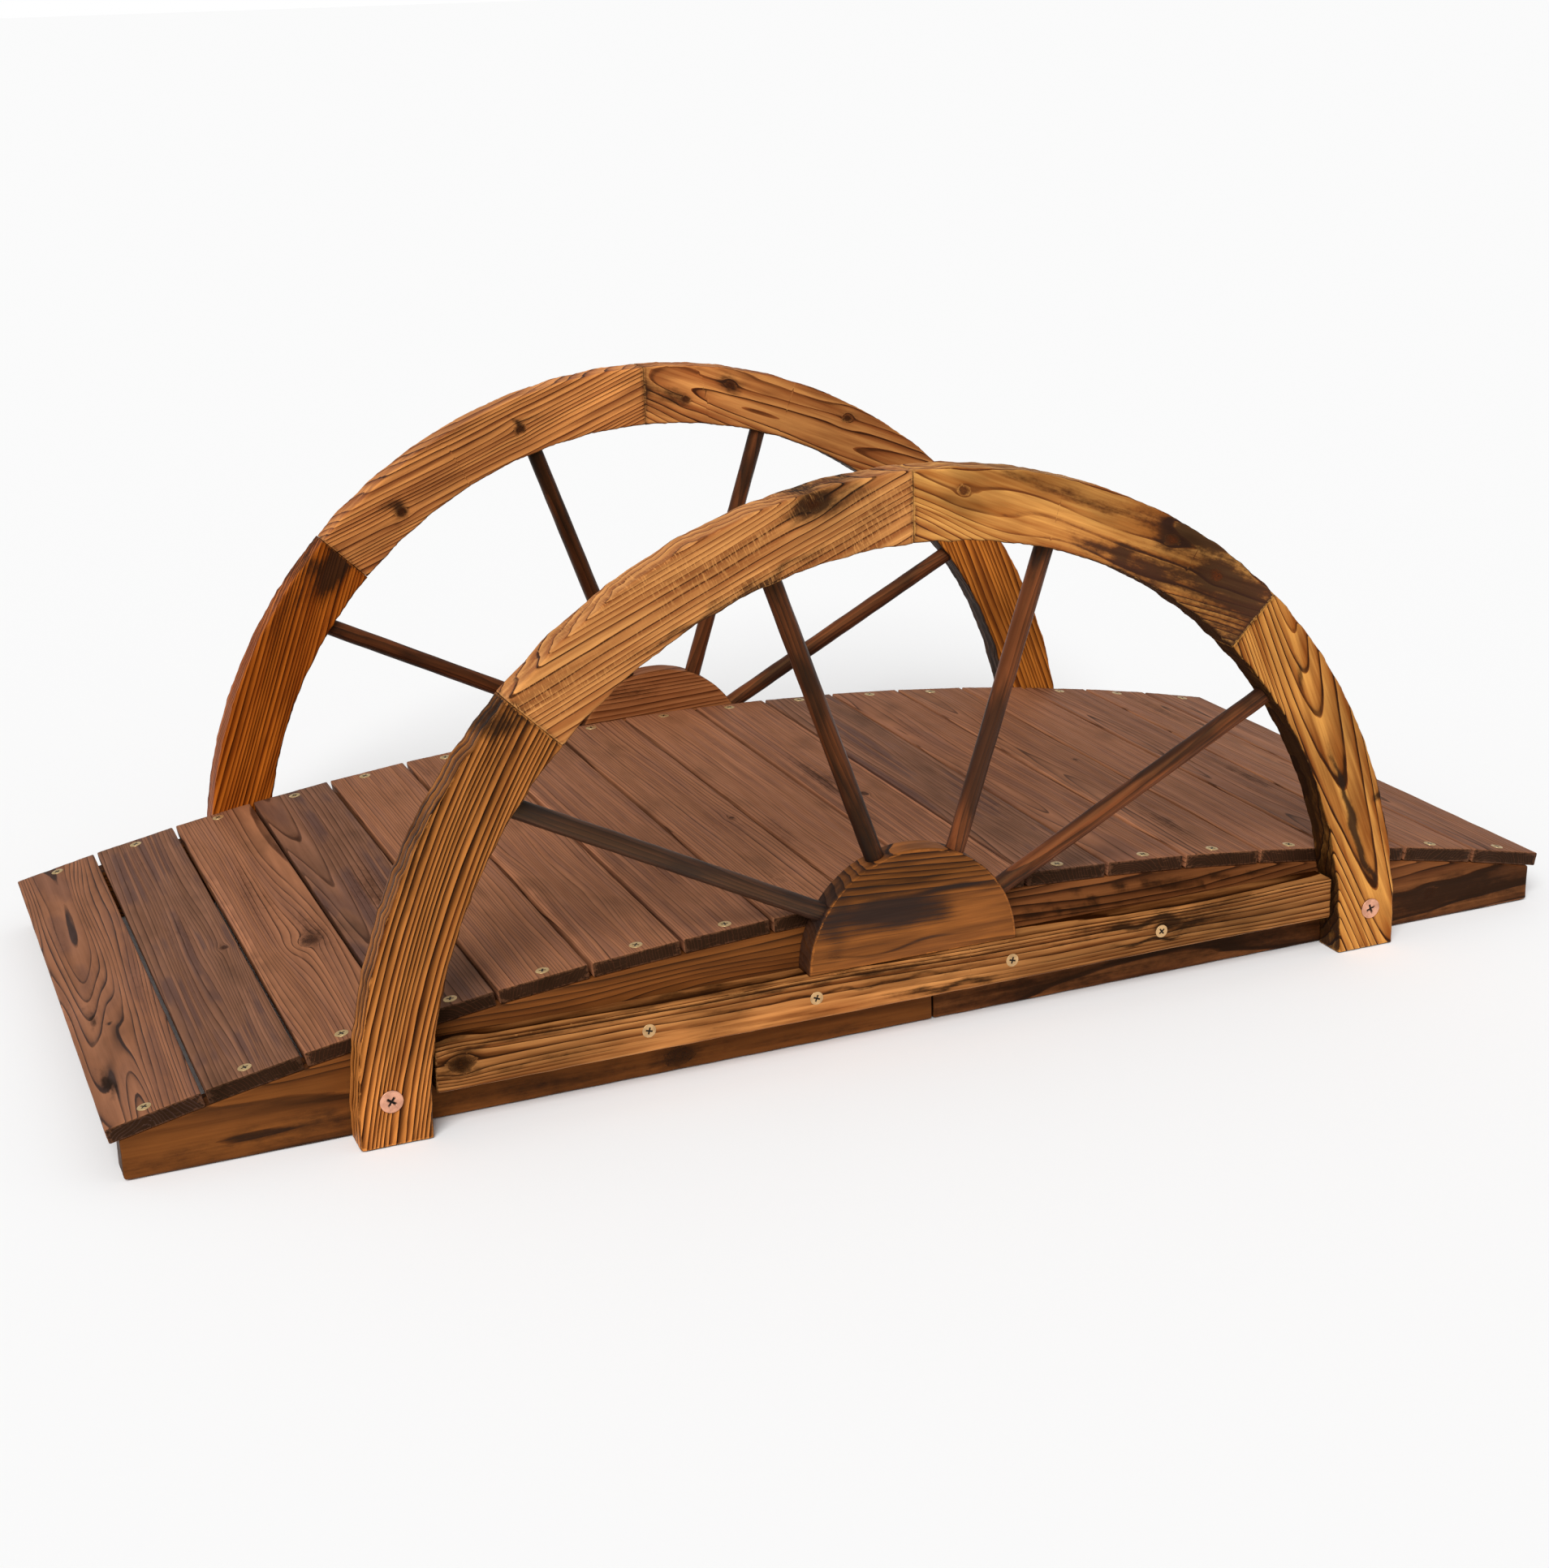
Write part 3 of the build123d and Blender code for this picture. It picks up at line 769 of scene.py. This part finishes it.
# hubs: half discs, extruded through their thickness
hubs = dict(
    round=0.0018, arcSteps=124, baseSteps=80, thickSteps=16, capSteps=46,
    heart=0.42, grainHeight=0.45,  # shares of the radius: where the end faces close, the grain's middle
    wear=0.001, wearFade=30,  # reach of the worn edge through the thickness, and its fade inwards
    near=dict(
        light=(158, 94, 42), mid=(90, 51, 27), dark=(40, 21, 13), charred=(36, 30, 30),
        lineWidth=0.7, lineStrength=1.4, chips=0.7, blotch=0.4, raggedness=0.16, streaks=0.6,
        pith=(-150, -20), slope=(-0.06, 0.02), ring=5.5, seed=23, relief=0.15,
        burns=[(-2, -5, 30, 14, 0.6), (-40, 0, 26, 20, 0.5), (-20, 6, 60, 14, 0.35), (-74, 0, 16, 40, 0.5),
               (0, 26, 64, 3, 0.45), (-4, 40, 60, 8, 0.35), (46, 10, 40, 3, 0.7), (-10, -31, 80, 1.6, 0.6)],
        clear=[(10, -18, 200, 28, 1.4)],
        tones=[(40, -38, 70, 7, 0.5), (62, -12, 30, 16, 0.45), (-20, -38, 60, 5, 0.5),
               (74, 4, 16, 8, 0.3), (0, 28, 90, 16, -1.0)],
    ),
    far=dict(
        light=(156, 98, 58), mid=(120, 66, 34), dark=(66, 30, 14), lineWidth=0.55, lineStrength=1.0, bump=0.6,
        pith=(-70, -30), slope=(0.02, 0), ring=4.6, seed=25, relief=0.2, burns=[(-30, 30, 40, 14, 0.5)],
    ),
)


def makeHubs():
    for side in ("near", "far"):
        node = f"{side}_hub"
        low, high = nodeBox(node)
        radius, base = high[0], low[2]
        turn = np.linspace(0, np.pi, hubs["arcSteps"] + 1)
        share = np.linspace(0, 1, hubs["baseSteps"] + 1)[1:-1]
        arc = radius * np.c_[np.cos(turn), np.sin(turn)]
        foot = np.c_[radius * (2 * share - 1), 0 * share]
        outline = np.vstack([arc, foot])
        heart = np.tile([0, hubs["heart"] * radius], (len(outline), 1))
        rows = stations(high[1] - low[1], hubs["round"], hubs["thickSteps"], hubs["capSteps"])
        a, b, c = ringsOf(outline, heart, rows)
        points = np.stack([b, low[1] + a, base + c], -1)
        edgeGap = np.minimum(rows[:, 0], rows[-1, 0] - rows[:, 0])
        wear = np.exp(-edgeGap / hubs["wear"] - rows[:, 2] * hubs["wearFade"])[:, None]
        hub = closedMesh(pieceName(node), points, wear)
        middle = np.array([0, (low[1] + high[1]) / 2, base + radius * hubs["grainHeight"]])
        growGrain(hub, middle, uprightAxes(side), hubs[side])
        place(hub, node, woodMaterial(f"{side}HubFir", hubs[side]))
    print("hubs made")


makeHubs()

# spokes: dowels with a slightly uneven turn
spokes = dict(
    around=28, along=90, cap=5, round=0.0006,
    light=(124, 68, 38), mid=(84, 46, 27), dark=(36, 22, 17), charred=(30, 24, 23),
    lineWidth=0.5, lineStrength=0.12, scorch=0.9, chips=0.2, gloss=0.42, bump=0.35, shine=0.2, blotch=0.7,
    streaks=0.5,
    blued=dict(light=(84, 54, 40), mid=(44, 32, 28), dark=(28, 23, 24), charred=(26, 26, 29), shine=0.45),
    bluedNode="near_spoke_1",
    tones=(-0.2, -0.8, 0.25, 0.3), farTone=-0.5, chars=(0.1, 0.12, 0.0, 0.0),
    endBurn=(44, 30, 0.4),  # half length, half width and strength
    uneven=0.03, lumps=30,  # share of the radius, and the length of the waves
    grain=dict(pith=(-14, 6), ring=3.0, sway=2.5, relief=0.1, rough=0.1),
)


def makeSpokes():
    brown = woodMaterial("spokeFir", spokes)
    blued = woodMaterial("spokeFirBlued", {**spokes, **spokes["blued"]})
    across = np.array([0, 1, 0])
    for side in ("near", "far"):
        for number in range(1, 5):
            node = f"{side}_spoke_{number}"
            middle, axes, _ = nodeAxes(node)
            low, high = nodeBox(node)
            turn = np.linspace(0, 2 * np.pi, spokes["around"], endpoint=False)
            outline = (high[1] - low[1]) / 2 * np.c_[np.cos(turn), np.sin(turn)]
            corners = readVectors(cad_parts[node].data.vertices, "co")
            reach = np.abs((corners - middle) @ axes[0]).max()
            rows = stations(2 * reach, spokes["round"], spokes["along"], spokes["cap"])
            a, b, c = ringsOf(outline, 0 * outline, rows)
            lumps = np.c_[a.ravel() / mm * 0.2, np.tile(outline / mm, (len(rows), 1))]
            lumps = waves(lumps, spokes["lumps"], number + 70).reshape(a.shape)
            squeeze = 1 - spokes["uneven"] * (1 + lumps) / 2
            cross = np.cross(axes[0], across)
            points = (middle + (a - reach)[..., None] * axes[0] + (b * squeeze)[..., None] * cross
                      + (c * squeeze)[..., None] * across)
            spoke = closedMesh(pieceName(node), points, np.zeros(len(outline)))
            growGrain(spoke, middle, [axes[0], cross, across], dict(
                seed=80 + number + 10 * (side == "far"), char=spokes["chars"][number - 1],
                tone=spokes["tones"][number - 1] + spokes["farTone"] * (side == "far"),
                burns=[(reach / mm * end, 0, *spokes["endBurn"]) for end in (-1, 1)], **spokes["grain"],
            ))
            place(spoke, node, blued if node == spokes["bluedNode"] else brown)
    print("spokes made")


makeSpokes()

# screws: a round head with a cross recess, as a height over rings and turns
screws = dict(
    deck=dict(radius=5.6, head=0.9, cross=3.2, slot=0.75, deep=0.25, sunk=0.6, colour=(232, 198, 140)),
    rail=dict(radius=5.8, head=0.9, cross=3.3, slot=0.75, deep=0.25, sunk=0.6, colour=(214, 172, 120)),
    foot=dict(radius=9.3, head=1.9, cross=4.6, slot=1.0, deep=1.2, sunk=0.4, colour=(236, 172, 140)),
    rings=(0, 0.08, 0.16, 0.24, 0.32, 0.4, 0.48, 0.56, 0.64, 0.74, 0.84, 0.92, 0.97, 1.0, 1.0, 1.0),
    # the recess colour is painted shade, for the cross recess and the head's side and underside
    turns=48, inset=13.0, tilt=0.03, recessShadeColour=(16, 9, 4),
    railX=(-238, -91, 91, 238), footX=452.5, footZ=37.7,
)


def screwHead(kind, turnBy):
    # points (rings by turns) of one head about its own axis, in metres, top at +z
    size = screws[kind]
    share = np.array(screws["rings"])
    turn = np.linspace(0, 2 * np.pi, screws["turns"], endpoint=False)
    r = size["radius"] * share[:, None] * np.ones(screws["turns"])
    x, y = r * np.cos(turn), r * np.sin(turn)
    dome = size["head"] * np.sqrt(np.clip(1 - 0.55 * share ** 4, 0, 1))[:, None] * np.ones(screws["turns"])
    dome[-2:] = [[size["head"] * 0.3], [-0.4]]  # the last two rings are the head's side and underside

    def arm(p, q):
        # one bar of the cross, with sloping walls
        wall = np.clip((size["slot"] - np.abs(p)) / 0.25 + 0.5, 0, 1)
        return wall * np.clip((size["cross"] - np.abs(q)) / 0.5, 0, 1)

    recessShade = np.maximum(arm(x, y), arm(y, x))
    recessShade[-3:] = 0
    z = dome - size["deep"] * recessShade
    # painted shade: the cross recess, and at 0.7 the head's side and underside, are darkened in the colour
    shadow = recessShade.copy()
    shadow[-2:] = 0.7
    c, s = math.cos(turnBy), math.sin(turnBy)
    return np.stack([x * c - y * s, x * s + y * c, z], -1) * mm, shadow


def metalMaterial(name, colour):
    material, tree, shader = newMaterial(name)
    spot = addNode(tree, "ShaderNodeTexCoord").outputs["Object"]
    patch = ramp(tree, noise(tree, spot, 140.0, 3.0), 0.35, 0.7)
    dull = tuple(c * 0.6 for c in colour[:3]) + (1,)
    tint = blendColour(tree, calc(tree, "MULTIPLY", patch, 0.7), colour, dull)
    # painted shade: the plating is darkened in the cross recess and on the head's side and underside
    tint = blendColour(tree, attribute(tree, "recessShade"), tint, paint(screws["recessShadeColour"]))
    gloss = ramp(tree, patch, -0.6, 2.2, False)
    feed(tree, shader, [("Base Color", tint), ("Roughness", gloss), ("Metallic", 0.7)])
    return material


def screwBatch(name, kind, seats):
    # seats are (point, outward normal, sideways); one joined mesh of closed heads
    rng = np.random.default_rng(len(seats) + 5)
    points, faces, shadows, base = [], [], [], 0
    for point, normal, sideways in seats:
        head, shadow = screwHead(kind, rng.uniform(0, 1.5))
        tilt = rng.normal(0, screws["tilt"], 2)
        normal = np.array(normal, float) + tilt[0] * np.array(sideways)
        normal /= np.linalg.norm(normal)
        third = np.cross(normal, sideways)
        seated = (point + head[..., 0, None] * sideways + head[..., 1, None] * third
                  + head[..., 2, None] * normal)
        m, n = seated.shape[:2]
        grid = base + 1 + np.arange((m - 1) * n).reshape(m - 1, n)
        nextU = np.roll(grid, -1, axis=1)
        faces += np.stack([grid[:-1], grid[1:], nextU[1:], nextU[:-1]], -1).reshape(-1, 4).tolist()
        faces += np.stack([np.full(n, base), grid[0], nextU[0]], -1).tolist()
        faces.append(grid[-1][::-1].tolist())
        points.append(np.vstack([seated[0, :1], seated[1:].reshape(-1, 3)]))
        shadows.append(np.r_[shadow[0, 0], shadow[1:].ravel()])
        base += 1 + (m - 1) * n
    mesh = bpy.data.meshes.new(name)
    mesh.from_pydata(np.vstack(points).tolist(), [], faces)
    # each head's painted shade, in its recess and under its rim
    writeAttribute(mesh, "recessShade", np.concatenate(shadows))
    piece = smoothPiece(name, mesh)
    piece.data.materials.append(metalMaterial(name + "Plating", paint(screws[kind]["colour"])))
    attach(piece, "root")


def makeScrews():
    rng = np.random.default_rng(29)
    seats = []
    for index in range(1, deck["planks"] + 1):
        middle, axes, halves = nodeAxes(f"deck_plank_{index:02d}")
        up = axes[2] * np.sign(axes[2][2])
        lifted = middle + up * (halves[2] - screws["deck"]["sunk"] * mm)
        for end in (-1, 1):
            drift = rng.uniform(-5, 5) * mm
            y = end * (halves[0] - screws["inset"] * mm + rng.uniform(-1.5, 1.5) * mm)
            seats.append((lifted + axes[1] * drift + [0, y, 0], up, axes[1]))
    screwBatch("deckScrews", "deck", seats)
    for side in ("near", "far"):
        out, outerFace = outward(side), 0 if side == "near" else 1
        railBox = nodeBox(f"{side}_tie_rail")
        y = railBox[outerFace][1] - out * screws["rail"]["sunk"] * mm
        z = (railBox[0][2] + railBox[1][2]) / 2
        seats = [((x * mm, y, z), (0, out, 0), (1, 0, 0)) for x in screws["railX"]]
        screwBatch(f"{side}RailScrews", "rail", seats)
        y = nodeBox(f"{side}_rim_left_leg")[outerFace][1] - out * screws["foot"]["sunk"] * mm
        z = screws["footZ"] * mm
        seats = [((end * screws["footX"] * mm, y, z), (0, out, 0), (1, 0, 0)) for end in (-1, 1)]
        screwBatch(f"{side}FootScrews", "foot", seats)
    print("screws made")


makeScrews()

# floor, light and camera
studio = dict(
    cameraAt=(-0.81119, -2.02532, 0.85247), yaw=-22.027, pitch=-18.349, roll=-1.787,
    focal=2990.8, frameHeight=1932, sensor=36.0,
    room=0.42, key=2.7, keySpread=35, keyFrom=(-0.5, -0.8, 0.9),
    paper=0.95, floorReach=150, floorDrop=0.001,
)


def makeFloor():
    reach, z = studio["floorReach"], -studio["floorDrop"]
    mesh = bpy.data.meshes.new("paleFloor")
    mesh.from_pydata([(-reach, -reach, z), (reach, -reach, z), (reach, reach, z), (-reach, reach, z)],
                     [], [(0, 1, 2, 3)])
    floor = addObject("paleFloor", mesh)
    material, tree, shader = newMaterial("palePaper")
    pale = (studio["paper"], studio["paper"], studio["paper"], 1)
    feed(tree, shader, [("Base Color", pale), ("Roughness", 1.0), ("Specular IOR Level", 0.0)])
    mesh.materials.append(material)


def makeLight(scene):
    # the room is a little brighter to the eye than as a light, so that the paper has no horizon
    scene.world = bpy.data.worlds.new("softRoom")
    scene.world.use_nodes = True
    tree = scene.world.node_tree
    seen = addNode(tree, "ShaderNodeLightPath").outputs["Is Camera Ray"]
    strength = calc(tree, "ADD", calc(tree, "MULTIPLY", seen, 1 - studio["room"]), studio["room"])
    feed(tree, tree.nodes["Background"], [("Strength", strength), ("Color", (1, 1, 1, 1))])
    lamp = bpy.data.lights.new("softKey", "SUN")
    lamp.energy, lamp.angle = studio["key"], math.radians(studio["keySpread"])
    light = addObject("softKey", lamp)
    back = np.array(studio["keyFrom"], float)
    back /= np.linalg.norm(back)
    side = np.cross((0, 0, 1), back)
    side /= np.linalg.norm(side)
    light.matrix_world = Matrix(np.c_[side, np.cross(back, side), back].tolist()).to_4x4()


def makeCamera(scene):
    yaw, pitch, roll = (math.radians(studio[k]) for k in ("yaw", "pitch", "roll"))
    ahead = np.array([-math.sin(yaw) * math.cos(pitch), math.cos(yaw) * math.cos(pitch), math.sin(pitch)])
    right = np.array([math.cos(yaw), math.sin(yaw), 0.0])
    up = np.cross(right, ahead)
    rolledRight = right * math.cos(roll) + up * math.sin(roll)
    rolledUp = up * math.cos(roll) - right * math.sin(roll)
    lens = bpy.data.cameras.new("photoCamera")
    lens.sensor_width = lens.sensor_height = studio["sensor"]
    lens.lens = studio["focal"] / studio["frameHeight"] * studio["sensor"]
    camera = addObject("photoCamera", lens)
    facing = Matrix(np.c_[rolledRight, rolledUp, -ahead].tolist()).to_4x4()
    camera.matrix_world = Matrix.Translation(studio["cameraAt"]) @ facing
    scene.camera = camera


def makeStudio():
    scene = bpy.context.scene
    makeFloor()
    makeLight(scene)
    makeCamera(scene)
    scene.view_settings.view_transform = "Standard"
    print("studio made")


makeStudio()
